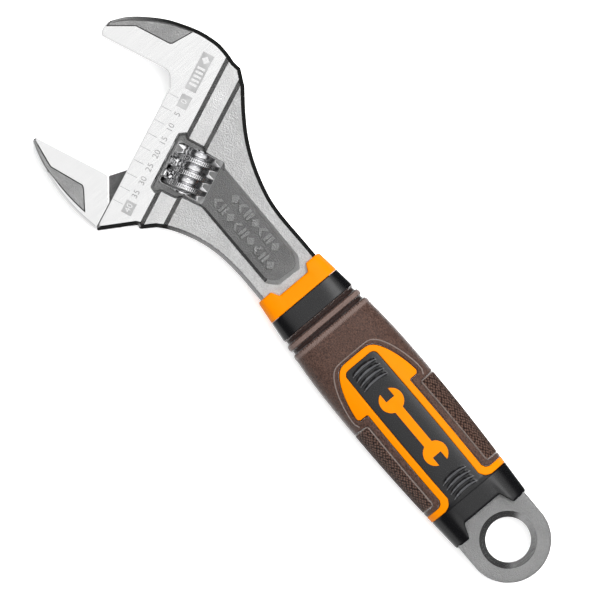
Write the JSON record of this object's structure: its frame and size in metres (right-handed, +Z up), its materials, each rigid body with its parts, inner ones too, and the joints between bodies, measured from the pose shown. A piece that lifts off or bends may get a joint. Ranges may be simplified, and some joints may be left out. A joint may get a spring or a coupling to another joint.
{
  "type": "adjustable wrench",
  "caption": "Wide-opening adjustable wrench with a worm-driven sliding jaw, a millimetre jaw scale and a soft over-moulded grip with a hanging eye.",
  "frame": {"origin": "middle of the bounding box's underside, with the wrench lying flat", "axes": "+X from the hanging eye along the handle towards the jaws, +Y towards the movable jaw's side, +Z up, square to the jaws' flat faces"},
  "size_m": [0.2324, 0.073, 0.0184],
  "materials": {
    "forged_steel": "satin cast grain with polished faces",
    "polished_steel": "polished",
    "chrome": "bright chrome",
    "spring_steel": "drawn wire",
    "dark_plastic": "moulded satin",
    "brown_rubber": "soft matt with a fine stipple",
    "orange_plastic": "smooth moulded"
  },
  "bodies": {
    "handle": {"wrench_body": "forged_steel", "worm_pin": "chrome", "worm_spring": "spring_steel", "grip_core": "dark_plastic", "front_collar": "orange_plastic", "grip_shell": "brown_rubber", "accent_frame": "orange_plastic", "side_pad_left": "brown_rubber", "side_pad_right": "brown_rubber", "emblem_front": "orange_plastic", "emblem_back": "orange_plastic"},
    "jaw": {"movable_jaw": "polished_steel"},
    "worm": {"adjusting_worm": "chrome"}
  },
  "joints": [
    {"name": "jaw_slide", "type": "slide", "parent": "handle", "child": "jaw", "axis": [-0.3827, 0.9239, 0], "range_m": [-0.0397, 0]},
    {"name": "worm_spin", "type": "hinge", "parent": "handle", "child": "worm", "pos_m": [0.06028, -0.00154, 0.00921], "axis": [-0.3827, 0.9239, 0], "range_deg": [-5, 3050]}
  ],
  "couplings": [
    {"joint": "worm_spin", "follows": "jaw_slide", "rad_per_m": -1336.8}
  ]
}
